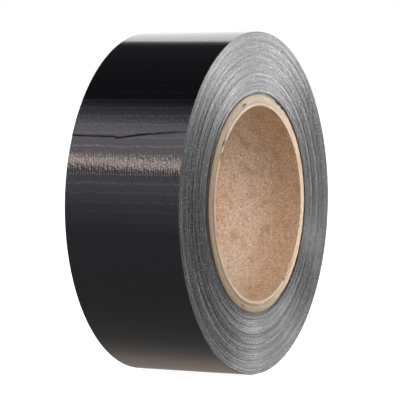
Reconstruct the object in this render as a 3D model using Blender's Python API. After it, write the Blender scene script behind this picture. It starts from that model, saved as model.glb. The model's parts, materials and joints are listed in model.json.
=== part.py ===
"""Roll of duct tape: a spiral-wound cardboard core, the tape wound on it, and the free end that peels up.

Metres. The origin is the centre of the roll, the roll's axis runs along Y, and +Z is up. Angles are
counted in degrees round the Y axis, from +X towards +Z, so 90 is the top of the roll.

The tape runs over the top, and its free end points down the -X side. "Turn" counts the laps of tape
from the free end, which is turn 0, so the roll gets thinner by one lap for each turn.
"""

import math

import bmesh
import bpy

# Driving dimensions
ROLL_RADIUS = 0.0667  # outside of the roll, at the free end
TAPE_WIDTH = 0.048
BORE_RADIUS = 0.0381  # a 3 inch core
CORE_WALL = 0.0045
CORE_LENGTH = 0.0496  # the core stands 0.8 mm proud of the tape on each side
PLY_NAMES = ("core_liner_ply", "core_ply_2", "core_ply_3", "core_ply_4", "core_outer_ply")
GLUE_GAP = 0.0003  # between plies, and between the core and the tape

# The tape is a film on a cloth that carries the adhesive
FILM = 0.00006
FILM_GAP = 0.00003
CLOTH = 0.00008
LAP_GAP = 0.00006  # under the adhesive

# The round shapes are faceted, with a level facet at the bottom to stand on
FACETS = 72
FACET_ANGLE = 360.0 / FACETS
FREE_END_ANGLE = 157.5
FLAP_PIECES = 7
PEEL_ANGLE = FREE_END_ANGLE - FLAP_PIECES * FACET_ANGLE
FLAP_CUT = 0.00005  # half of the gap between two pieces of the flap

TAPE = FILM + FILM_GAP + CLOTH
LAP_PITCH = TAPE + LAP_GAP
CLOTH_TOP = FILM + FILM_GAP  # depth of the cloth's outer side below the film's

COLOURS = {
    "kraft_liner": ((0.47, 0.32, 0.19), 0.85),
    "core_board": ((0.36, 0.27, 0.18), 0.9),
    "wound_tape": ((0.10, 0.10, 0.10), 0.45),
    "tape_film": ((0.020, 0.021, 0.023), 0.35),
    "tape_cloth": ((0.42, 0.41, 0.39), 0.8),
}


def clear_scene():
    for obj in list(bpy.data.objects):
        bpy.data.objects.remove(obj, do_unlink=True)


def material(name):
    """A plain surface in the slot's colour, made once and then shared."""
    if name in bpy.data.materials:
        return bpy.data.materials[name]
    colour, roughness = COLOURS[name]
    made = bpy.data.materials.new(name)
    made.use_nodes = True
    shader = made.node_tree.nodes["Principled BSDF"]
    shader.inputs["Base Color"].default_value = (*colour, 1.0)
    shader.inputs["Roughness"].default_value = roughness
    shader.inputs["Metallic"].default_value = 0.0
    return made


def polar(radius, angle):
    """The (x, z) of a point at this radius and angle."""
    return (radius * math.cos(math.radians(angle)), radius * math.sin(math.radians(angle)))


def surface_radius(turn):
    """Radius of the tape's outer surface, this many turns in from the free end."""
    return ROLL_RADIUS - LAP_PITCH * turn


def lap_point(steps, depth=0.0):
    """The (x, z) of the tape this many facets in from the free end, and this far below its surface."""
    turn = steps / FACETS
    return polar(surface_radius(turn) - depth, FREE_END_ANGLE - steps * FACET_ANGLE)


def circle(radius):
    """Points on one full circle, in the same places as the laps' points."""
    return [polar(radius, FREE_END_ANGLE - step * FACET_ANGLE) for step in range(FACETS)]


def solid_from_section(name, polygons, length, slot, origin=(0.0, 0.0), parent=None):
    """Extrudes touching (x, z) polygons along Y, half of the length to each side of the origin.

    origin is the (x, z) place of the object, and the polygons are given in the roll's frame.
    """
    mesh = bpy.data.meshes.new(name)
    bm = bmesh.new()
    corners = {}
    for polygon in polygons:
        for x, z in polygon:
            if (x, z) not in corners:
                corners[x, z] = bm.verts.new((x - origin[0], -length / 2, z - origin[1]))
        bm.faces.new([corners[point] for point in polygon])
    section = bm.faces[:]
    bmesh.ops.recalc_face_normals(bm, faces=section)
    made = bmesh.ops.extrude_face_region(bm, geom=section, use_keep_orig=True)
    far_side = [item for item in made["geom"] if isinstance(item, bmesh.types.BMVert)]
    bmesh.ops.translate(bm, verts=far_side, vec=(0.0, length, 0.0))
    bmesh.ops.recalc_face_normals(bm, faces=bm.faces[:])
    bm.to_mesh(mesh)
    bm.free()
    mesh.shade_smooth()
    mesh.set_sharp_from_angle(angle=math.radians(30))
    mesh.materials.append(material(slot))
    obj = bpy.data.objects.new(name, mesh)
    bpy.context.scene.collection.objects.link(obj)
    obj.parent = parent
    return obj


def strip(inner, outer):
    """Quads between two lines of points, from the first pair to the last."""
    ends = zip(inner, inner[1:], outer[1:], outer)
    return [list(quad) for quad in ends]


def empty(name, place, parent=None):
    """An axis to hang pieces on, at this (x, y, z) under its parent."""
    made = bpy.data.objects.new(name, None)
    made.empty_display_size = 0.01
    made.location = place
    made.parent = parent
    bpy.context.scene.collection.objects.link(made)
    return made


def make_core(roll_axis):
    """The core's paper plies, each one a tube inside the next."""
    gaps = (len(PLY_NAMES) - 1) * GLUE_GAP
    ply = (CORE_WALL - gaps) / len(PLY_NAMES)
    for number, name in enumerate(PLY_NAMES):
        inner_radius = BORE_RADIUS + number * (ply + GLUE_GAP)
        inner, outer = circle(inner_radius), circle(inner_radius + ply)
        quads = strip(inner + inner[:1], outer + outer[:1])
        slot = "kraft_liner" if number == 0 else "core_board"
        solid_from_section(name, quads, CORE_LENGTH, slot, parent=roll_axis)


def make_windings(roll_axis):
    """All the laps under the outermost one. Their outside is a spiral with one step at the end of a turn."""
    inner = circle(BORE_RADIUS + CORE_WALL + GLUE_GAP)
    inner.append(inner[0])
    outer = [lap_point(FACETS + step) for step in range(FACETS + 1)]
    quads = strip(inner, outer)
    # The first quad's radial side also holds the last point, at the foot of the step
    quads[0].append(outer[-1])
    solid_from_section("windings", quads, TAPE_WIDTH, "wound_tape", parent=roll_axis)


def make_outer_lap(roll_axis):
    """The outermost lap, from the peel line round to the step under the free end: film over cloth."""
    first, last = FLAP_PIECES, FACETS
    layers = {
        "outer_lap_film": (0.0, FILM, "tape_film"),
        "outer_lap_cloth": (CLOTH_TOP, CLOTH, "tape_cloth"),
    }
    for name, (depth, thickness, slot) in layers.items():
        outer = [lap_point(step, depth) for step in range(first, last + 1)]
        inner = [lap_point(step, depth + thickness) for step in range(first, last + 1)]
        for line in (outer, inner):
            line[0] = along(line[0], line[1], FLAP_CUT)
            line[-1] = along(line[-1], line[-2], FLAP_CUT)
        solid_from_section(name, strip(inner, outer), TAPE_WIDTH, slot, parent=roll_axis)


def along(start, end, distance):
    """The point this far from start towards end."""
    share = distance / math.dist(start, end)
    return tuple(a + (b - a) * share for a, b in zip(start, end))


def make_free_end(roll_axis):
    """The flap of tape beyond the peel line, in flat pieces on a chain of hinge lines.

    Hinge 1 is the peel line. Each hinge line lies on the film's outer surface, so the pieces open on
    the adhesive side as the flap lifts, and hinge empties carry one another like the tape does.
    """
    parent, parent_place = roll_axis, (0.0, 0.0)
    for number in range(1, FLAP_PIECES + 1):
        near, far = FLAP_PIECES - number + 1, FLAP_PIECES - number
        hinge = lap_point(near)
        step = (hinge[0] - parent_place[0], 0.0, hinge[1] - parent_place[1])
        parent = empty(f"peel_axis_{number}", step, parent)
        parent_place = hinge
        layers = {
            f"free_end_film_{number}": (0.0, FILM, "tape_film"),
            f"free_end_cloth_{number}": (CLOTH_TOP, CLOTH, "tape_cloth"),
        }
        for name, (depth, thickness, slot) in layers.items():
            outer = [lap_point(near, depth), lap_point(far, depth)]
            inner = [lap_point(near, depth + thickness), lap_point(far, depth + thickness)]
            sides = []
            for start, end in (inner, outer):
                sides.append([along(start, end, FLAP_CUT), along(end, start, FLAP_CUT)])
            quads = strip(*sides)
            solid_from_section(name, quads, TAPE_WIDTH, slot, origin=hinge, parent=parent)


def main():
    clear_scene()
    roll_axis = empty("roll_axis", (0.0, 0.0, 0.0))
    make_core(roll_axis)
    make_windings(roll_axis)
    make_outer_lap(roll_axis)
    make_free_end(roll_axis)


main()
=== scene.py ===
"""A roll of black duct tape on a spiral-wound cardboard core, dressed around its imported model.

Metres, in the model's own frame: the roll's axis is Y, and the origin is the roll's centre. Angles are
in degrees round Y, from +X towards +Z. A "turn" counts laps of tape in from the free end, which is turn 0.
Materials work in millimetres of the surface, along the tape and across it.
"""

import json
import math

import bpy
import numpy as np
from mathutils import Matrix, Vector


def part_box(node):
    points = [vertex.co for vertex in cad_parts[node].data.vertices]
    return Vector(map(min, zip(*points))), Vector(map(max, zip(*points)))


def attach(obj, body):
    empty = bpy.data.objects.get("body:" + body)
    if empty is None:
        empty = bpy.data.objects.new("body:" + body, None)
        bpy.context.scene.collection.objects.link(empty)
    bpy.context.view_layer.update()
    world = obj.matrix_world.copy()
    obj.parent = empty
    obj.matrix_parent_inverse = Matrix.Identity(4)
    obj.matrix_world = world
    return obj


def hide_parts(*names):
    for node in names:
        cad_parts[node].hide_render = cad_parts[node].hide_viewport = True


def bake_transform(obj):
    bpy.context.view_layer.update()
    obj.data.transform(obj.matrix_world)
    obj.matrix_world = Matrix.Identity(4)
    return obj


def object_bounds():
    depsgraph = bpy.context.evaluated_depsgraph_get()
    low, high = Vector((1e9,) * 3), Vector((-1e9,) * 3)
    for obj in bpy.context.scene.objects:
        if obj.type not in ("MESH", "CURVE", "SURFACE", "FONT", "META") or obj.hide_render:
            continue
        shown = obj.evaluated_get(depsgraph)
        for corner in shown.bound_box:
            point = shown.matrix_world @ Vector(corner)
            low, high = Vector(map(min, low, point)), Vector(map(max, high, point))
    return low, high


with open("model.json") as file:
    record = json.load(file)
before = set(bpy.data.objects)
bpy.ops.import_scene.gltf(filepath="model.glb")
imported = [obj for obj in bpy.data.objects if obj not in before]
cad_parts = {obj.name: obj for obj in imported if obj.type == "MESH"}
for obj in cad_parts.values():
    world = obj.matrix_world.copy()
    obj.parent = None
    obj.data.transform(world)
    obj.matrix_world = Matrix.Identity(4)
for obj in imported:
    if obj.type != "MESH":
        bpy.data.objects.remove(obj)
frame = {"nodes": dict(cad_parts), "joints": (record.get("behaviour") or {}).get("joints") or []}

CAD_LOW, CAD_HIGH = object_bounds()
MM = 0.001
random = np.random.default_rng(20)


# ---------------------------------------------------------------- sizes, from the frame


def distances(node):
    """The smallest and the largest distance of a node's corners from the roll's axis."""
    corners = [vertex.co for vertex in frame["nodes"][node].data.vertices]
    found = [math.hypot(corner.x, corner.z) for corner in corners]
    return min(found), max(found)


def angle_of(x, z):
    return math.degrees(math.atan2(z, x)) % 360


HINGES = [joint["pos_m"] for joint in frame["joints"]]
HINGE_ANGLES = [angle_of(place[0], place[2]) for place in HINGES]
HINGE_STEP = HINGE_ANGLES[1] - HINGE_ANGLES[0]
CUT_ANGLE = HINGE_ANGLES[-1] + HINGE_STEP
ROLL_RADIUS = distances("free_end_film_7")[1]
WOUND_RADIUS = distances("windings")[0]
HALF_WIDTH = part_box("windings")[1].y
CORE_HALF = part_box("core_liner_ply")[1].y
PLIES = ("core_liner_ply", "core_ply_2", "core_ply_3", "core_ply_4", "core_outer_ply")

LAP = 0.16 * MM  # thickness of the tape
FILM = 0.07 * MM
THREAD = 1.01 * MM  # from one lengthwise thread of the cloth to the next
WEFT = 3.5 * MM  # from one crosswise thread to the next
THREADS = round(2 * HALF_WIDTH / THREAD)
COLUMNS = 4 * THREADS  # mesh columns across the tape
CORE_GAP = 0.2 * MM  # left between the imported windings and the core, and filled by the innermost lap
LAPS = int((ROLL_RADIUS - LAP - WOUND_RADIUS + CORE_GAP) / LAP)  # under the outermost one
STEPS_PER_LAP = 160


def surface_radius(turn):
    return ROLL_RADIUS - LAP * turn


def turn_at(angle):
    """The turn of the outermost lap at this angle."""
    return ((CUT_ANGLE - angle) % 360) / 360


def length_at(turn):
    """Length of tape from the free end, in metres."""
    return 2 * math.pi * turn * (ROLL_RADIUS - LAP * turn / 2)


# ---------------------------------------------------------------- mesh helpers

NOISE_TABLE = 64  # random values along x before noise_2d repeats


def noise_2d(x, y, seed, period=64):
    """Smooth random values from -1 to 1, with features about 1 in size; it repeats after period in y."""
    table = np.random.default_rng(seed).uniform(-1, 1, (NOISE_TABLE, period))
    x, y = np.broadcast_arrays(np.asarray(x, float), np.asarray(y, float))
    xi, yi = np.floor(x).astype(int), np.floor(y).astype(int)
    xs, ys = x - xi, y - yi
    xs, ys = xs * xs * (3 - 2 * xs), ys * ys * (3 - 2 * ys)
    left, right = xi % NOISE_TABLE, (xi + 1) % NOISE_TABLE
    here, after = yi % period, (yi + 1) % period
    near = table[left, here] * (1 - xs) + table[right, here] * xs
    far = table[left, after] * (1 - xs) + table[right, after] * xs
    return near * (1 - ys) + far * ys


def polar_points(radius, angle, y):
    """Points (..., 3) at these radii, angles in degrees and places along the axis."""
    radius, angle, y = np.broadcast_arrays(radius, np.radians(angle), y)
    return np.stack([radius * np.cos(angle), y, radius * np.sin(angle)], -1)


def grid_faces(rows, columns, first=0, flip=False, close=False):
    """Quads of a grid whose points are numbered row by row. close joins the last row to the first."""
    row = np.arange(rows if close else rows - 1)
    column = np.arange(columns - 1)
    r, c = np.meshgrid(row, column, indexing="ij")
    following = (r + 1) % rows
    corners = [r * columns + c, following * columns + c, following * columns + c + 1, r * columns + c + 1]
    quads = np.stack(corners, -1).reshape(-1, 4) + first
    return (quads[:, ::-1] if flip else quads).tolist()


def make_piece(name, points, faces, uv, materials, face_materials, sharp=40):
    """An object from points (n, 3), faces (lists of indices), and a UV in millimetres for each point."""
    mesh = bpy.data.meshes.new(name)
    mesh.from_pydata(np.asarray(points).tolist(), [], faces)
    layer = mesh.uv_layers.new(name="surface")
    corners = np.empty(len(mesh.loops), np.int32)
    mesh.loops.foreach_get("vertex_index", corners)
    layer.data.foreach_set("uv", np.asarray(uv, np.float32)[corners].ravel())
    for made in materials:
        mesh.materials.append(made)
    mesh.polygons.foreach_set("material_index", np.asarray(face_materials, np.int32))
    mesh.shade_smooth()
    mesh.set_sharp_from_angle(angle=math.radians(sharp))
    mesh.update()
    obj = bpy.data.objects.new(name, mesh)
    bpy.context.scene.collection.objects.link(obj)
    return obj


# ---------------------------------------------------------------- material helpers

MIX_COLOURS, MIX_RESULT = (6, 7), 2  # the Mix node's sockets for colours, whose names aren't their own


def add(tree, kind, inputs=None, **settings):
    """A shader node, with its settings, and its inputs as values or as the sockets to link."""
    node = tree.nodes.new("ShaderNode" + kind)
    for name, value in settings.items():
        setattr(node, name, value)
    for name, value in (inputs or {}).items():
        if isinstance(value, bpy.types.NodeSocket):
            tree.links.new(value, node.inputs[name])
        else:
            node.inputs[name].default_value = value
    return node


def calc(tree, operation, *values):
    """The result of a Math node, from values or sockets."""
    return add(tree, "Math", dict(enumerate(values)), operation=operation).outputs[0]


def product(tree, *values):
    """The product of sockets and values."""
    result = values[0]
    for value in values[1:]:
        result = calc(tree, "MULTIPLY", result, value)
    return result


def weighted(tree, *pairs):
    """The sum of (socket, weight) pairs."""
    result = calc(tree, "MULTIPLY", *pairs[0])
    for value, weight in pairs[1:]:
        result = calc(tree, "MULTIPLY_ADD", value, weight, result)
    return result


def components(tree, vector):
    """The X, Y and Z of a vector."""
    return add(tree, "SeparateXYZ", {"Vector": vector}).outputs


def new_material(name):
    """(material, its node tree, its Principled BSDF, the surface coordinates in millimetres)"""
    made = bpy.data.materials.new(name)
    made.use_nodes = True
    tree = made.node_tree
    place = add(tree, "UVMap", uv_map="surface").outputs["UV"]
    return made, tree, tree.nodes["Principled BSDF"], place


def stretch(tree, place, x, y, turn=0.0):
    """The coordinates turned by an angle in degrees and then scaled."""
    rotation = (0, 0, math.radians(turn))
    if turn:
        place = add(tree, "Mapping", {"Vector": place, "Rotation": rotation}).outputs[0]
    return add(tree, "Mapping", {"Vector": place, "Scale": (x, y, 1)}).outputs[0]


def noise(tree, place, detail=2.0, roughness=0.5, seed=0.0):
    """Noise with features about 1 in size. A seed shows another part of it."""
    if seed:
        place = add(tree, "Mapping", {"Vector": place, "Location": (seed, seed * 0.37, 0)}).outputs[0]
    inputs = {"Vector": place, "Scale": 1.0, "Detail": detail, "Roughness": roughness}
    return add(tree, "TexNoise", inputs).outputs["Fac"]


def ramp(tree, value, low, high, to_low=0.0, to_high=1.0):
    """A smooth step from to_low to to_high as the value goes from low to high."""
    inputs = {"Value": value, "From Min": low, "From Max": high, "To Min": to_low, "To Max": to_high}
    return add(tree, "MapRange", inputs, interpolation_type="SMOOTHSTEP").outputs["Result"]


def waves(tree, value, pitch, low):
    """Rounded ridges from 0 to 1, one every pitch; the larger low is, the narrower they are."""
    cosine = calc(tree, "COSINE", calc(tree, "MULTIPLY", value, 2 * math.pi / pitch))
    return ramp(tree, cosine, low, 1.0)


def colour_stops(tree, value, stops):
    """The colour at a value from 0 to 1, from (position, colour) stops in rising order."""
    node = add(tree, "ValToRGB", {"Fac": value})
    elements = node.color_ramp.elements
    while len(elements) < len(stops):
        elements.new(0.5)
    for element, (position, _) in zip(elements, stops):
        element.position = position
    for element, (_, colour) in zip(elements, stops):
        element.color = (*colour, 1.0)
    return node.outputs["Color"]


def mix(tree, share, first, second):
    """A colour between two, given as values or sockets."""
    colours = []
    for colour in (first, second):
        colours.append(colour if isinstance(colour, bpy.types.NodeSocket) else (*colour, 1.0))
    inputs = {"Factor": share, MIX_COLOURS[0]: colours[0], MIX_COLOURS[1]: colours[1]}
    return add(tree, "Mix", inputs, data_type="RGBA").outputs[MIX_RESULT]


def bump(tree, shader, height, depth):
    """Relief on the surface: a height of 1 stands depth metres proud."""
    made = add(tree, "Bump", {"Height": height, "Distance": depth, "Strength": 1.0})
    tree.links.new(made.outputs["Normal"], shader.inputs["Normal"])


# ---------------------------------------------------------------- the tape's film and cloth

OUTER_LENGTH = 420.0  # millimetres of tape that the stops below cover
STRETCHED = (  # (millimetres from the free end, how strongly the cloth shows)
    (0, 0.9), (7, 0.9), (13, 0.5), (19, 0.3), (25, 0.12), (50, 0.05), (62, 0.8), (100, 0.8), (150, 0.15),
    (340, 0.12), (384, 0.20), (399, 0.48), (409, 0.95),
)


def relief_along(tree, along):
    """How strongly the cloth shows at a length along the tape: more where the tape was pulled harder."""
    stops = [(at / OUTER_LENGTH, (share, share, share)) for at, share in STRETCHED]
    return colour_stops(tree, calc(tree, "DIVIDE", along, OUTER_LENGTH), stops)


def knots(tree, place, along, thread):
    """Where a lengthwise thread crosses a crosswise one: steep towards the free end, drawn out behind."""
    jitter = noise(tree, stretch(tree, place, 0.03, 0.12), 3.0, 0.6, seed=12.9)
    row = calc(tree, "MULTIPLY_ADD", along, MM / WEFT, calc(tree, "MULTIPLY", jitter, 0.6))
    row = calc(tree, "FRACT", row)
    crossing = calc(tree, "SUBTRACT", ramp(tree, row, 0.05, 0.16), ramp(tree, row, 0.18, 0.38))
    uneven = noise(tree, stretch(tree, place, 0.30, 0.60), 2.0, 0.7, seed=7.7)
    return product(tree, thread, crossing, ramp(tree, uneven, 0.30, 0.55, 0.1, 1.0))


def weave(tree, place):
    """(height, glint): the cloth showing through the film, with a glint on its knots."""
    along, across, _ = components(tree, place)
    wander = noise(tree, stretch(tree, place, 0.10, 0.3), seed=3.1)
    thread = waves(tree, calc(tree, "MULTIPLY_ADD", wander, 0.5, across), THREAD / MM, 0.48)
    shows = relief_along(tree, along)
    knot = product(tree, knots(tree, place, along, thread), shows)
    patchy = noise(tree, stretch(tree, place, 0.9, MM / THREAD), 1.0, 0.5, seed=31.0)
    rib = product(tree, thread, patchy, shows)
    grain = noise(tree, stretch(tree, place, 0.8, 1.1), 1.0, 0.5, seed=1.7)
    grain = product(tree, grain, calc(tree, "MULTIPLY_ADD", shows, 0.9, 0.1))
    height = weighted(tree, (knot, 1.0), (thread, 0.035), (rib, 0.07), (grain, 0.75))
    return height, product(tree, knot, shows)


def film_material():
    """Black polyethylene film, glossy, with the cloth's weave pressed through it."""
    made, tree, shader, place = new_material("tape_film")
    height, glint = weave(tree, place)
    dust = ramp(tree, noise(tree, stretch(tree, place, 0.8, 1.1), 4.0, 0.6), 0.45, 0.8)
    colour = mix(tree, dust, (0.0028, 0.0028, 0.0035), (0.0075, 0.0073, 0.0080))
    colour = mix(tree, glint, colour, (0.23, 0.23, 0.23))
    tree.links.new(colour, shader.inputs["Base Color"])
    tree.links.new(glint, shader.inputs["Metallic"])
    rough = ramp(tree, noise(tree, stretch(tree, place, 0.15, 0.6), 3.0), 0.3, 0.7, 0.05, 0.10)
    tree.links.new(rough, shader.inputs["Roughness"])
    bump(tree, shader, height, 0.05 * MM)
    return made


def cloth_material():
    """The underside: grey adhesive over a gauze of threads."""
    made, tree, shader, place = new_material("tape_cloth")
    along, across, _ = components(tree, place)
    lengthwise = waves(tree, across, THREAD / MM, 0.2)
    crosswise = waves(tree, along, WEFT / MM / 2, 0.2)
    threads = calc(tree, "MAXIMUM", lengthwise, crosswise)
    smear = noise(tree, stretch(tree, place, 0.25, 0.6), 4.0, 0.6)
    colour = mix(tree, threads, (0.30, 0.295, 0.28), (0.47, 0.465, 0.45))
    colour = mix(tree, ramp(tree, smear, 0.35, 0.75), colour, (0.38, 0.37, 0.345))
    tree.links.new(colour, shader.inputs["Base Color"])
    tree.links.new(ramp(tree, smear, 0.3, 0.7, 0.35, 0.65), shader.inputs["Roughness"])
    bump(tree, shader, weighted(tree, (threads, 1.0), (smear, 0.8)), 0.03 * MM)
    return made


# ---------------------------------------------------------------- the cut sides of the laps and the core

MIDDLE_RADIUS = 55.0  # millimetres, of the roll's sides


def ring_place(tree):
    """Coordinates in millimetres for the roll's sides: two that go round it, and the radius."""
    x, _, z = components(tree, add(tree, "TexCoord").outputs["Object"])
    radius = calc(tree, "SQRT", calc(tree, "ADD", product(tree, x, x), product(tree, z, z)))
    around = [product(tree, calc(tree, "DIVIDE", value, radius), MIDDLE_RADIUS) for value in (x, z)]
    joined = {"X": around[0], "Y": around[1], "Z": calc(tree, "DIVIDE", radius, MM)}
    return add(tree, "CombineXYZ", joined).outputs[0]


def ring_noise(tree, place, around, inwards, detail=2.0, roughness=0.6, shift=0.0):
    """Noise with so many features for each millimetre around the roll and towards its axis."""
    inputs = {"Vector": place, "Scale": (around, around, inwards), "Location": (shift, shift, shift)}
    place = add(tree, "Mapping", inputs).outputs[0]
    inputs = {"Vector": place, "Scale": 1.0, "Detail": detail, "Roughness": roughness}
    return add(tree, "TexNoise", inputs).outputs["Fac"]


def shaded_grooves(tree, place):
    """Lines of laps that stand back, most of all towards -X and +Z and nearer the core, as a mask for
    relief and for painted shade.
    """
    x, z, radius = components(tree, place)
    towards = weighted(tree, (x, -0.9), (z, 0.45))
    loose = product(tree, ramp(tree, towards, 8, 42), ramp(tree, radius, 60, 50))
    lines = ring_noise(tree, place, 0.008, 1.25, 1.0, 0.5, 33.3)
    return product(tree, ramp(tree, lines, 0.52, 0.60), loose)


def edge_material():
    """The slit edges of the laps: grey adhesive, pale thread ends and thin black films, with painted shade
    in the lines of laps that stand back.
    """
    made, tree, shader, _ = new_material("tape_edge")
    place = ring_place(tree)
    wide = ring_noise(tree, place, 0.010, 0.60)
    fine = ring_noise(tree, place, 0.010, 2.2, shift=3.1)
    streak = ring_noise(tree, place, 0.10, 1.5, shift=5.3)
    speck = ring_noise(tree, place, 1.5, 1.8, shift=9.1)
    pit = ring_noise(tree, place, 0.7, 1.5, shift=21.4)
    groove = shaded_grooves(tree, place)
    line = weighted(tree, (wide, 0.5), (fine, 0.5))
    tone = weighted(tree, (line, 0.65), (streak, 0.35))
    colour = mix(tree, ramp(tree, tone, 0.45, 0.57), (0.002, 0.0021, 0.0024), (0.062, 0.063, 0.066))
    colour = mix(tree, ramp(tree, fine, 0.58, 0.66, 0.0, 0.8), colour, (0.16, 0.16, 0.163))
    colour = mix(tree, ramp(tree, speck, 0.56, 0.67), colour, (0.24, 0.24, 0.245))
    colour = mix(tree, ramp(tree, pit, 0.60, 0.74), colour, (0.006, 0.006, 0.007))
    # painted shade: the lines of laps that stand back are darkened as if shadowed
    colour = mix(tree, product(tree, groove, 0.75), colour, (0.003, 0.003, 0.0033))
    radius = components(tree, place)["Z"]
    newest = ramp(tree, radius, (ROLL_RADIUS - 5 * LAP) / MM, (ROLL_RADIUS - 2 * LAP) / MM)
    colour = mix(tree, newest, colour, (0.004, 0.004, 0.0045))
    tree.links.new(colour, shader.inputs["Base Color"])
    tree.links.new(ramp(tree, tone, 0.40, 0.60, 0.34, 0.27), shader.inputs["Roughness"])
    shader.inputs["Specular IOR Level"].default_value = 0.60
    height = weighted(tree, (speck, 0.35), (pit, -0.35), (streak, 0.3), (line, 2.2), (groove, -0.3))
    bump(tree, shader, height, 0.10 * MM)
    return made


def kraft_material():
    """The bore's liner paper: mottled, with slanting fibres; painted light makes it pale in the middle,
    where the light falls, and painted shade makes it browner towards its ends.
    """
    made, tree, shader, place = new_material("core_kraft")
    blotch = noise(tree, stretch(tree, place, 0.12, 0.16), 3.0, 0.6)
    fibre = noise(tree, stretch(tree, place, 0.55, 2.0, 40), 4.0, 0.7, seed=4.4)
    cross = noise(tree, stretch(tree, place, 0.8, 2.2, 75), 3.0, 0.7, seed=8.2)
    fleck = noise(tree, stretch(tree, place, 0.6, 1.2, 35), 2.0, 0.5, seed=15.5)
    texture = weighted(tree, (fibre, 0.55), (cross, 0.45))
    light = ramp(tree, texture, 0.34, 0.66)
    # painted light in the middle of the bore and painted shade towards its ends, each over the paper's own
    # fibres
    lit_middle = mix(tree, light, (0.46, 0.325, 0.215), (0.95, 0.79, 0.61))
    shaded_mouth = mix(tree, light, (0.38, 0.23, 0.13), (0.84, 0.60, 0.41))
    from_middle = calc(tree, "ABSOLUTE", components(tree, place)["Y"])
    colour = mix(tree, ramp(tree, weighted(tree, (from_middle, 1.0), (blotch, 14.0)), 8, 25), lit_middle, shaded_mouth)
    colour = mix(tree, ramp(tree, blotch, 0.48, 0.70, 0.0, 0.55), colour, (0.44, 0.275, 0.16))
    colour = mix(tree, ramp(tree, fleck, 0.62, 0.74, 0.0, 0.8), colour, (0.20, 0.125, 0.08))
    tree.links.new(colour, shader.inputs["Base Color"])
    shader.inputs["Roughness"].default_value = 0.85
    shader.inputs["Specular IOR Level"].default_value = 0.25
    bump(tree, shader, texture, 0.28 * MM)
    return made


def board_material(name, dark, light, shade_brown):
    """A cut end of the core's board: pale torn fibres in layers. Painted shade browns it towards -X and -Z,
    in random patches and more on some plies, and painted light makes it paler and warmer towards +X."""
    made, tree, shader, _ = new_material(name)
    place = ring_place(tree)
    x, z, _ = components(tree, place)
    layer = ring_noise(tree, place, 0.10, 3.4, 3.0, 0.6, 2.2)
    fuzz = ring_noise(tree, place, 1.1, 1.9, 4.0, 0.7, 6.6)
    patch = ring_noise(tree, place, 0.09, 0.5, 2.0, 0.5, 11.0)
    tone = weighted(tree, (layer, 0.55), (fuzz, 0.45))
    colour = mix(tree, ramp(tree, tone, 0.38, 0.60), dark, light)
    # painted shade: browner towards -X and -Z, away from the light, broken up by random patches
    lean = weighted(tree, (x, 0.008), (z, 0.004), (patch, 0.4))
    colour = mix(tree, ramp(tree, lean, -0.35, 0.50, shade_brown, 0.05), colour, (0.30, 0.205, 0.13))
    # painted light: paler and warmer towards +X, where the light falls
    colour = mix(tree, ramp(tree, x, 12, 50, 0.0, 0.6), colour, (0.93, 0.69, 0.48))
    # painted shade in the nicks and beside the gap to the windings, read from a point attribute
    painted_shade = add(tree, "Attribute", attribute_name="painted_shade").outputs["Fac"]
    colour = mix(tree, painted_shade, colour, (0.030, 0.022, 0.018))
    tree.links.new(colour, shader.inputs["Base Color"])
    shader.inputs["Roughness"].default_value = 0.95
    shader.inputs["Specular IOR Level"].default_value = 0.2
    bump(tree, shader, tone, 0.25 * MM)
    return made


# ---------------------------------------------------------------- the core

PLY_STEPS = 720  # mesh steps round a ply
RIM_POINTS = 5  # across each of its cut ends
BORE_POINTS = 94  # along the bore
PLY_COLOURS = (  # of the cut ends, from the bore outwards: dark paper, light paper, how strongly painted shade browns it towards -X and -Z
    ((0.66, 0.53, 0.40), (0.90, 0.79, 0.67), 0.35),
    ((0.50, 0.39, 0.29), (0.74, 0.62, 0.50), 0.95),
    ((0.54, 0.43, 0.325), (0.80, 0.68, 0.55), 0.75),
    ((0.52, 0.415, 0.31), (0.79, 0.67, 0.54), 0.80),
    ((0.40, 0.29, 0.20), (0.68, 0.55, 0.42), 0.90),
)
NICKS = (  # in each ply's cut ends: (angle, width in degrees, depth in millimetres, painted shade in the nick)
    ((142, 2.2, 0.1, 0.6), (150, 2.6, 0.7, 0.2), (196, 2.0, 0.5, 0.0), (306, 1.2, 0.5, 0.8),
     (310, 0.8, 0.3, 0.5), (318, 2.5, 0.8, 0.2), (344, 0.6, 0.1, 0.7), (348, 0.4, 0.2, 0.8),
     (352, 0.5, 0.15, 0.9)),
    ((20, 2.0, 0.3, 0.1), (142, 3.2, 3.0, 1.0), (146, 1.6, 1.6, 1.0)),
    ((108, 1.4, 0.8, 0.9), (111, 0.8, 0.5, 0.6), (331, 1.5, 0.3, 0.2)),
    ((250, 2.0, 0.3, 0.2),),
    ((60, 1.3, 1.0, 0.9), (66, 2.2, 1.4, 1.0), (300, 3.0, 0.3, 0.1)),
)


def nicks_at(angles, nicks):
    """(depth, painted shade) of the nicks in a cut end at each angle."""
    depth, nick_shade = np.zeros_like(angles), np.zeros_like(angles)
    for at, width, deep, dark in nicks:
        off = (angles - at + 180) % 360 - 180
        shape = np.exp(-np.abs(off / width) ** 3)
        depth += deep * MM * shape
        nick_shade = np.maximum(nick_shade, dark * shape)
    return depth, nick_shade


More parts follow.
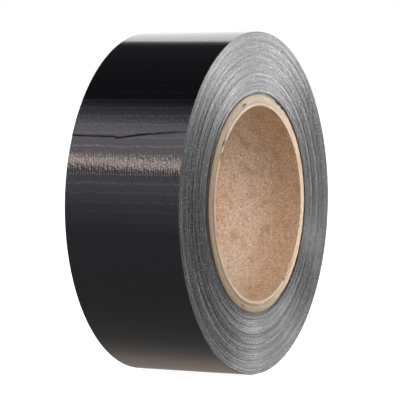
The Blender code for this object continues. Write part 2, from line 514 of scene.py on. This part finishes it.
def ply_end(number, side, angles, share):
    """(distance from the core's middle, painted shade) of a cut end, by angle and share of the ply's wall.

    The ends are rough, wavy and nicked, and lower towards the outer plies. Shade is painted into the nicks,
    and onto the outer half of the last ply, beside the gap to the windings.
    """
    angles = (angles + 90 * (side + 1)) % 360  # the far end's nicks lie opposite the near end's
    seed = 100 * (number + 1)
    rough = noise_2d(share * 2.2, angles[:, None] / 360 * 260, seed, 260)
    slow = noise_2d(share * 0.7, angles[:, None] / 360 * 16, seed + 31, 16)
    depth, nick_shade = nicks_at(angles, NICKS[number])
    rounding = 0.04 * (2 * share - 1) ** 4
    fall = 0.62 * ((number + share) / len(PLIES)) ** 1.6
    level = MM * (0.07 * (slow - 1) + 0.09 * (rough - 1) - rounding - fall) - depth[:, None]
    outermost = number == len(PLIES) - 1
    # painted shade on the outer half of the outermost ply, beside the gap to the windings
    gap_shade = 0.75 * np.clip(share - 0.5, 0, 1) if outermost else np.zeros_like(share)
    return CORE_HALF + level, np.maximum(nick_shade[:, None], gap_shade)


def ply_wall(number, inner, angles, y):
    """Points of a ply's inner wall, uneven with fibres and slow swells."""
    seed = 100 * (number + 1)
    fibres = noise_2d(y / (0.7 * MM), angles[:, None] / 360 * 260, seed + 7, 260)
    swells = noise_2d(y / (5 * MM), angles[:, None] / 360 * 40, seed, 40)
    return polar_points(inner + 0.02 * MM * fibres + 0.04 * MM * swells, angles[:, None], y)


def ply_section(number, inner, outer, angles):
    """(points, painted shade, places along the axis) of a ply's near end, inner wall and far end, at each
    angle.

    Only the innermost ply has a wall that shows, so the others have no points on theirs.
    """
    share = np.linspace(0, 1, RIM_POINTS)
    radii = inner + (outer - inner) * share
    near, near_shade = ply_end(number, -1, angles, share)
    far, far_shade = ply_end(number, 1, angles, share)
    front = polar_points(radii, angles[:, None], -near)[:, ::-1]
    back = polar_points(radii, angles[:, None], far)
    wall_count = 0 if number else BORE_POINTS
    wall_y = np.linspace(-1, 1, wall_count + 2)[1:-1] * (CORE_HALF - 0.5 * MM)
    wall = ply_wall(number, inner, angles, wall_y)
    points = np.concatenate([front, wall, back], axis=1)
    painted_shade = np.concatenate([near_shade[:, ::-1], np.zeros(wall.shape[:2]), far_shade], axis=1)
    past_end = CORE_HALF + radii - inner
    return points, painted_shade, np.concatenate([-past_end[::-1], wall_y, past_end])


def make_ply(number, node, kraft, board):
    """One paper tube of the core, with rough cut ends."""
    inner, outer = distances(node)
    if number < len(PLIES) - 1:
        outer = distances(PLIES[number + 1])[0] - 0.02 * MM
    angles = np.arange(PLY_STEPS) * 360 / PLY_STEPS
    points, painted_shade, lengthwise = ply_section(number, inner, outer, angles)
    columns = points.shape[1]
    faces = grid_faces(PLY_STEPS, columns, close=True)
    for step in range(PLY_STEPS):  # the outer wall, from one cut end to the other
        this, following = step * columns, (step + 1) % PLY_STEPS * columns
        faces.append([this + columns - 1, following + columns - 1, following, this])
    around = np.radians(angles)[:, None] * inner
    uv = np.stack(np.broadcast_arrays(around, lengthwise[None, :]), -1) / MM
    is_wall = np.zeros(columns - 1, int)
    if number == 0:
        is_wall[RIM_POINTS - 1:columns - RIM_POINTS] = 1
    face_materials = np.concatenate([np.tile(is_wall, PLY_STEPS), np.zeros(PLY_STEPS, int)])
    obj = make_piece(node.replace("core", "paper"), points.reshape(-1, 3), faces, uv.reshape(-1, 2),
                     [board, kraft], face_materials)
    # the painted shade of the cut ends, kept on the points
    layer = obj.data.attributes.new("painted_shade", "FLOAT", "POINT")
    layer.data.foreach_set("value", painted_shade.ravel().astype(np.float32))
    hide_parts(node)
    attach(obj, "roll")


# ---------------------------------------------------------------- the wound tape

EDGE_SWELLS = (  # (laps, features round the roll, millimetres): wide swells, narrow rings, single laps
    (34, 3, 0.045), (9, 5, 0.015), (3.2, 5, 0.011), (1.1, 6, 0.009),
)
LOOSE_ANGLE = 148  # where a few loose laps stand furthest back
LOOSE_DEPTH = 0.26 * MM
RIDGE = 0.030 * MM  # how far each lap's edge stands out of the groove before the next
RIDGE_IN = 0.80 * LAP  # how far inside a lap's outer side its ridge lies
CLEARANCE = 0.045 * MM  # between the outermost lap and the one under it


def edge_line(turns, angles, seed):
    """How far the laps' edges stand out of the roll's side."""
    total = np.zeros(len(turns))
    for laps, around, size in EDGE_SWELLS:
        total += size * MM * noise_2d(turns / laps, angles / 360 * around, seed + around, around)
    loose = np.clip(noise_2d(turns / 3.8, angles / 360 * 4, seed + 9, 4) * 2.6 - 0.3, 0, 1)
    loose *= np.clip(1.7 * np.cos(np.radians(angles - LOOSE_ANGLE)) - 0.55, 0, 1)
    loose *= np.clip(turns / 30 - 0.6, 0, 1)
    return total - LOOSE_DEPTH * loose


def laps_side(side, seed, turns, radii):
    """(points, UVs) of one side of the windings: a groove and a ridge, at these radii, for each step."""
    angles = CUT_ANGLE - 360 * turns
    rounding = 0.25 * MM * np.clip((turns - LAPS + 5) / 4, 0, 1)
    out = HALF_WIDTH + edge_line(turns, angles, seed) - rounding
    uneven = np.interp(turns, np.arange(LAPS + 3), random.uniform(-1, 1, LAPS + 3))
    groove = polar_points(radii[0], angles, side * (out - RIDGE * (1 + 0.6 * uneven)))
    ridge = polar_points(radii[1], angles, side * out)
    along = length_at(turns) / MM
    uv = [np.stack([along, radius / MM], -1) for radius in radii]
    return np.stack([groove, ridge], 1).reshape(-1, 3), np.stack(uv, 1).reshape(-1, 2)


def side_faces(count):
    """Quads of the front side: each lap's slope, and the drop from its ridge to the next lap's groove."""
    step = np.arange(count - 1)
    slope = np.stack([2 * step, 2 * step + 2, 2 * step + 3, 2 * step + 1], -1)
    step = np.arange(count - 1 - STEPS_PER_LAP)
    below = 2 * (step + STEPS_PER_LAP)
    drop = np.stack([2 * step + 1, 2 * step + 3, below + 2, below], -1)
    return np.concatenate([slope, drop])


def wall_faces(path, offset):
    """Quads between the front and the back side, along a path of front point numbers."""
    return [[a, a + offset, b + offset, b] for a, b in zip(path, path[1:])]


def make_windings(edge, film):
    """All the laps under the outermost one, as one solid whose sides are ridged lap by lap."""
    count = LAPS * STEPS_PER_LAP + 1
    turns = 1 + np.arange(count) / STEPS_PER_LAP
    groove_radius = surface_radius(turns) - np.where(turns <= 2, CLEARANCE, 0)
    radii = (groove_radius, groove_radius - RIDGE_IN)
    sides = [laps_side(side, seed, turns, radii) for side, seed in ((-1, 41), (1, 43))]
    points = np.concatenate([side[0] for side in sides])
    uv = np.concatenate([side[1] for side in sides])
    front = side_faces(count)
    back = front[:, ::-1] + 2 * count
    cut_sides = np.concatenate([front, back]).tolist()
    outer_path = [2 * step for step in range(STEPS_PER_LAP + 1)] + [1, 0]
    last = count - 1
    inner_path = [2 * step + 1 for step in range(last - STEPS_PER_LAP, last + 1)]
    inner_path += [2 * last, 2 * (last - STEPS_PER_LAP) + 1]
    walls = wall_faces(outer_path, 2 * count)
    walls += [face[::-1] for face in wall_faces(inner_path, 2 * count)]
    face_materials = [0] * len(cut_sides) + [1] * len(walls)
    obj = make_piece("wound_laps", points, cut_sides + walls, uv, [edge, film], face_materials, sharp=20)
    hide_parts("windings")
    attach(obj, "roll")


# ---------------------------------------------------------------- the outermost lap and the free end

LAYERS = (  # the tape's layers: how thick each is, and how far its outer side lies below the tape's
    {"name": "film", "thick": FILM, "top": 0.0},
    {"name": "cloth", "thick": LAP - FILM - 0.012 * MM, "top": FILM + 0.004 * MM},
)
ROW_LENGTH = {"film": 0.84 * MM, "cloth": 1.6 * MM}  # of the outermost lap's mesh
FLAP_ROW_LENGTH = 0.45 * MM
TORN_LINE = (  # (share of the tape's width from the near side, angle) along the torn end
    (0, 154.5), (0.2, 155.1), (0.4, 155.8), (0.55, 156.6), (0.6, 157.0), (0.63, 156.4), (0.8, 156.3),
    (1, 156.2),
)
TORN_LIFT = ((-1, 0.02), (-0.3, 0.14), (1, 0.12))  # (y over HALF_WIDTH, millimetres) off the lap below
LIFTED = 0.85  # millimetres of tape before the torn end that lift with it
TORN_ROWS = 33
CLOTH_SHORT = 0.0010  # turns by which the cloth ends before the film
TORN_BEND = 0.36  # of a step past the last hinge: where the torn piece's bend points end, which nothing uses
OVERLAP = 0.01  # turns by which the outermost lap runs on under the free end


def across_places():
    """The Y of each mesh column of the tape."""
    return np.linspace(-HALF_WIDTH, HALF_WIDTH, COLUMNS + 1)


def lap_relief(turns, y):
    """Height of the film's surface: the weave pressed through it, and slow unevenness of the winding."""
    along = length_at(turns)
    thread = np.cos(2 * np.pi * (y + HALF_WIDTH) / THREAD)
    weft = np.cos(2 * np.pi * along / WEFT)
    slow = noise_2d(along / (21 * MM), y / (17 * MM), 5)
    return MM * (0.0010 * thread + 0.0016 * weft * (0.5 + 0.5 * thread) + 0.022 * slow)


def full_rim(rows, columns):
    """Faces that join a sheet's front to a back with just as many points."""
    rim = list(range(columns))
    rim += [row * columns + columns - 1 for row in range(1, rows)]
    rim += [(rows - 1) * columns + column for column in range(columns - 2, -1, -1)]
    rim += [row * columns for row in range(rows - 2, 0, -1)]
    first = rows * columns
    return [[b + first, a + first, a, b] for a, b in zip(rim, rim[1:] + rim[:1])]


def narrow_rim(rows, columns):
    """Faces that join a sheet's front to a back that has points only along its two long edges."""
    faces = []
    for row in range(rows - 1):
        back = rows * columns + 2 * row
        a, b = row * columns, (row + 1) * columns
        faces.append([back, back + 2, b, a])
        a, b = a + columns - 1, b + columns - 1
        faces.append([back + 3, back + 1, a, b])
    for row, flip in ((0, False), (rows - 1, True)):
        back = rows * columns + 2 * row
        line = [row * columns + column for column in range(columns)] + [back + 1, back]
        faces.append(line[::-1] if flip else line)
    return faces


def tape_sheet(name, turns, layer, materials, seen_behind=True, lift=0.0):
    """A closed strip of one layer of the tape, raised by lift, with materials for its sides and its rim.

    turns is (rows, columns) or (rows, 1). A back that isn't seen has points only along its long edges.
    """
    turns, y = np.broadcast_arrays(turns, across_places()[None, :])
    rows, columns = turns.shape
    radius = surface_radius(turns) - layer["top"] + lap_relief(turns, y) + lift
    angles = CUT_ANGLE - 360 * turns
    front = polar_points(radius, angles, y)
    back = polar_points(radius - layer["thick"], angles, y)
    uv = np.stack([length_at(turns) / MM, y / MM], -1)
    behind = slice(None) if seen_behind else [0, -1]
    back, back_uv = back[:, behind], uv[:, behind]
    points = np.concatenate([front.reshape(-1, 3), back.reshape(-1, 3)])
    uvs = np.concatenate([uv.reshape(-1, 2), back_uv.reshape(-1, 2)])
    sides = grid_faces(rows, columns, flip=True) + grid_faces(rows, back.shape[1], rows * columns)
    rim = full_rim(rows, columns) if seen_behind else narrow_rim(rows, columns)
    obj = make_piece(name, points, sides + rim, uvs, materials, [0] * len(sides) + [1] * len(rim))
    return obj


def rows_between(start, end, longest):
    """(rows, 1) of evenly spaced turns, no further apart than longest, in metres of tape."""
    count = max(2, math.ceil(abs(length_at(end) - length_at(start)) / longest) + 1)
    return np.linspace(start, end, count)[:, None]


def torn_edge(y):
    """The turn at which the torn end of the tape lies, for each place across it."""
    share = (y + HALF_WIDTH) / (2 * HALF_WIDTH)
    tooth = np.cos(2 * np.pi * (y + HALF_WIDTH) / THREAD)
    ragged = noise_2d(y / (0.5 * MM), 0.3, 77)
    angle = np.interp(share, *zip(*TORN_LINE)) + 0.16 * tooth + 0.10 * ragged
    return (CUT_ANGLE - angle) / 360


def torn_piece(layer, start):
    """(turns, lift) of the free end's last piece, which is torn off and curls up a little there."""
    y = across_places()
    tear = torn_edge(y)[None, :]
    edge = tear
    if layer["name"] == "cloth":
        edge = tear + CLOTH_SHORT * (1 + 0.5 * noise_2d(y / (0.7 * MM), 4.2, 91))[None, :]
    share = 1 - (1 - np.linspace(0, 1, TORN_ROWS)[:, None]) ** 1.7  # rows crowd towards the tear
    turns = start + (edge - start) * share
    to_tear = (length_at(turns) - length_at(tear)) / MM
    uneven = 1 + 0.2 * noise_2d(y / (3 * MM), 2.2, 17) + 0.1 * noise_2d(y / (0.9 * MM), 5.2, 18)
    lift = np.interp(y / HALF_WIDTH, *zip(*TORN_LIFT)) * MM
    return turns, lift * np.clip(1 - to_tear / LIFTED, 0, 1) ** 2 * uneven


def make_outer_lap(layer, materials):
    """The outermost lap, from just before the peel line round to the tape that lies under the free end."""
    start = turn_at(HINGE_ANGLES[0] - HINGE_STEP / 2)
    turns = rows_between(start, start + 1 + OVERLAP, ROW_LENGTH[layer["name"]])
    obj = tape_sheet("lap_" + layer["name"], turns, layer, materials, seen_behind=False)
    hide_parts("outer_lap_" + layer["name"])
    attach(obj, "roll")


def make_flap(layer, materials):
    """The free end, in pieces that each span one hinge line and meet half way between two."""
    for number, hinge in enumerate(HINGE_ANGLES, 1):
        start, end = turn_at(hinge - HINGE_STEP / 2), turn_at(hinge + HINGE_STEP / 2)
        turns, lift = rows_between(start, end, FLAP_ROW_LENGTH), 0.0
        angles = [CUT_ANGLE - 360 * turn for turn in (start, end)]
        if number == len(HINGE_ANGLES):
            turns, lift = torn_piece(layer, start)
            angles[1] = hinge + TORN_BEND * HINGE_STEP
        obj = tape_sheet(f"end_{layer['name']}_{number}", turns, layer, materials, lift=lift)
        limits = zip((start, end), angles)
        bend = [polar_points(surface_radius(turn), angle, 0.0).tolist() for turn, angle in limits]
        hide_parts(f"free_end_{layer['name']}_{number}")
        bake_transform(obj)


# ---------------------------------------------------------------- studio

# The room round the roll's axis, on the +Y side, which the glossy tread mirrors. Each stop is (degrees from
# +X towards +Z, brightness, tint), and the room blends from one stop to the next.
NEUTRAL, COOL = (1.0, 1.0, 1.0), (1.0, 0.95, 1.12)
MAUVE, WARM = (1.08, 0.95, 1.04), (1.2, 1.0, 0.87)
FLOOR = ((-75, 0.33, NEUTRAL), (-45, 0.5, WARM), (-17, 0.27, WARM))
WHITE_WALL = ((0, 1.0, NEUTRAL), (38, 2.0, NEUTRAL))
DARK_CEILING = ((40.5, 0.4, COOL), (46, 0.07, COOL), (107, 0.04, COOL))
SOFTBOX = ((121, 0.8, COOL), (129, 2.3, COOL), (151.5, 1.9, MAUVE))
WARM_STRIP = ((153, 11.5, WARM), (156, 5.5, WARM))
LEFT_WALL = ((158, 0.4, COOL), (165, 1.3, COOL), (183, 0.7, COOL), (200, 0.4, COOL), (250, 0.33, NEUTRAL))
ROOM = FLOOR + WHITE_WALL + DARK_CEILING + SOFTBOX + WARM_STRIP + LEFT_WALL
ROOM_START = -100  # the angle where the ring of stops is cut open, on the floor
ROOM_LEAN = 75  # degrees that the room is turned on for each 1 in the Y of a direction
LEAN_FROM = 0.456  # the Y of a direction where it isn't turned
ROOM_LOW, ROOM_HIGH = 0.44, 0.22  # how bright the -Y side of the room is, below and above the horizon

SOFTBOXES = {  # (bearing from +X towards +Y, degrees up, metres away, width, height, watts per m2)
    "panel": (-10, 15, 1.4, 0.34, 0.40, 34.4),
    "panel_left": (-39, 15, 1.4, 0.26, 0.40, 47.2),
    "panel_right": (-9, 0, 1.4, 0.32, 0.36, 18.0),
    "below": (-16, -15, 1.4, 0.50, 0.34, 8.0),
    "key": (-115, 20, 1.5, 0.50, 0.50, 34.0),
    "fill": (-52, 38, 1.5, 0.50, 0.50, 18.0),
}
FLOOR_REACH = 30.0  # metres from the roll to the floor's edges
CAMERA_BEARING, CAMERA_HEIGHT = -62.8, 2.6  # degrees round from the -Y side towards +X, and up
CAMERA_DISTANCE = 0.91
CAMERA_LENS = 208.0
CAMERA_LEFT, CAMERA_UP = 1.30 * MM, 0.85 * MM  # how far it stands beside its line to the roll's centre


def aim(obj, towards=(0, 0, 0)):
    """Turn a light or the camera to face a point."""
    obj.rotation_mode = "QUATERNION"
    obj.rotation_quaternion = (Vector(towards) - obj.location).to_track_quat("-Z", "Y")


def make_softbox(name, bearing, rise, distance, width, height, watts):
    """An area light that faces the roll."""
    light = bpy.data.lights.new(name, "AREA")
    light.shape = "RECTANGLE"
    light.size, light.size_y = width, height
    light.energy = width * height * watts
    obj = bpy.data.objects.new(name, light)
    bearing, rise = math.radians(bearing), math.radians(rise)
    level = distance * math.cos(rise)
    obj.location = (level * math.cos(bearing), level * math.sin(bearing), distance * math.sin(rise))
    aim(obj)
    obj.visible_camera = False
    bpy.context.scene.collection.objects.link(obj)


def room_colour(tree, x, y, z):
    """The room round the roll's axis, as a colour by direction."""
    share = calc(tree, "MULTIPLY_ADD", calc(tree, "ARCTAN2", z, x), 1 / (2 * math.pi), -ROOM_START / 360)
    lean = calc(tree, "MULTIPLY", calc(tree, "SUBTRACT", y, LEAN_FROM), ROOM_LEAN / 360)
    share = calc(tree, "FRACT", calc(tree, "ADD", share, lean))
    stops = []
    for angle, brightness, tint in ROOM:
        stops.append(((angle - ROOM_START) / 360, tuple(brightness * part for part in tint)))
    return colour_stops(tree, share, stops)


def make_room():
    """The world: what the glossy tape reflects, behind a backdrop that is plain white to the camera."""
    world = bpy.data.worlds.new("studio")
    world.use_nodes = True
    bpy.context.scene.world = world
    tree = world.node_tree
    tree.nodes.clear()
    x, y, z = components(tree, add(tree, "TexCoord").outputs["Generated"])
    ring = add(tree, "Background", {"Color": room_colour(tree, x, y, z), "Strength": 1.0})
    strength = calc(tree, "MULTIPLY_ADD", ramp(tree, z, -0.06, 0.06), ROOM_HIGH - ROOM_LOW, ROOM_LOW)
    rest = add(tree, "Background", {"Color": (1.0, 0.99, 0.97, 1.0), "Strength": strength})
    seen = add(tree, "Background", {"Color": (1, 1, 1, 1), "Strength": 1.0})
    far_side = ramp(tree, y, -0.2, 0.25)
    room = add(tree, "MixShader", {0: far_side, 1: rest.outputs[0], 2: ring.outputs[0]})
    camera_ray = add(tree, "LightPath").outputs["Is Camera Ray"]
    both = add(tree, "MixShader", {0: camera_ray, 1: room.outputs[0], 2: seen.outputs[0]})
    out = add(tree, "OutputWorld")
    tree.links.new(both.outputs[0], out.inputs["Surface"])


def make_floor():
    """A wide pale floor that the roll stands on. It lights and darkens nothing."""
    near, far, level = -FLOOR_REACH, FLOOR_REACH, CAD_LOW.z
    mesh = bpy.data.meshes.new("floor")
    corners = [(near, near, level), (far, near, level), (far, far, level), (near, far, level)]
    mesh.from_pydata(corners, [], [(0, 1, 2, 3)])
    made = bpy.data.materials.new("pale_floor")
    made.use_nodes = True
    shader = made.node_tree.nodes["Principled BSDF"]
    shader.inputs["Base Color"].default_value = (0.5, 0.5, 0.5, 1)
    shader.inputs["Roughness"].default_value = 1.0
    shader.inputs["Specular IOR Level"].default_value = 0.0
    shader.inputs["Emission Color"].default_value = (1, 1, 1, 1)
    shader.inputs["Emission Strength"].default_value = 0.955
    mesh.materials.append(made)
    obj = bpy.data.objects.new("floor", mesh)
    bpy.context.scene.collection.objects.link(obj)
    obj.visible_glossy = False
    obj.visible_diffuse = False
    obj.visible_shadow = False


def make_camera():
    """A long lens, a little above the roll's axis, that sees the tread and one side."""
    bearing, rise = math.radians(CAMERA_BEARING), math.radians(CAMERA_HEIGHT)
    data = bpy.data.cameras.new("camera")
    data.lens, data.sensor_width = CAMERA_LENS, 36.0
    data.clip_end = 100
    obj = bpy.data.objects.new("camera", data)
    bpy.context.scene.collection.objects.link(obj)
    back = Vector((math.sin(bearing) * math.cos(rise), -math.cos(bearing) * math.cos(rise), math.sin(rise)))
    right = Vector((0, 0, 1)).cross(back).normalized()
    up = back.cross(right)
    obj.location = back * CAMERA_DISTANCE - right * CAMERA_LEFT + up * CAMERA_UP
    aim(obj, obj.location - back)
    bpy.context.scene.camera = obj


def main():
    surfaces = {"film": film_material(), "cloth": cloth_material()}
    edge, kraft = edge_material(), kraft_material()
    for number, node in enumerate(PLIES):
        board = board_material(f"core_board_{number + 1}", *PLY_COLOURS[number])
        make_ply(number, node, kraft, board)
    make_windings(edge, surfaces["film"])
    for layer in LAYERS:
        materials = [surfaces[layer["name"]], edge]
        make_outer_lap(layer, materials)
        make_flap(layer, materials)
    make_room()
    for name, placed in SOFTBOXES.items():
        make_softbox(name, *placed)
    make_floor()
    make_camera()
    bpy.context.scene.view_settings.view_transform = "Standard"


main()
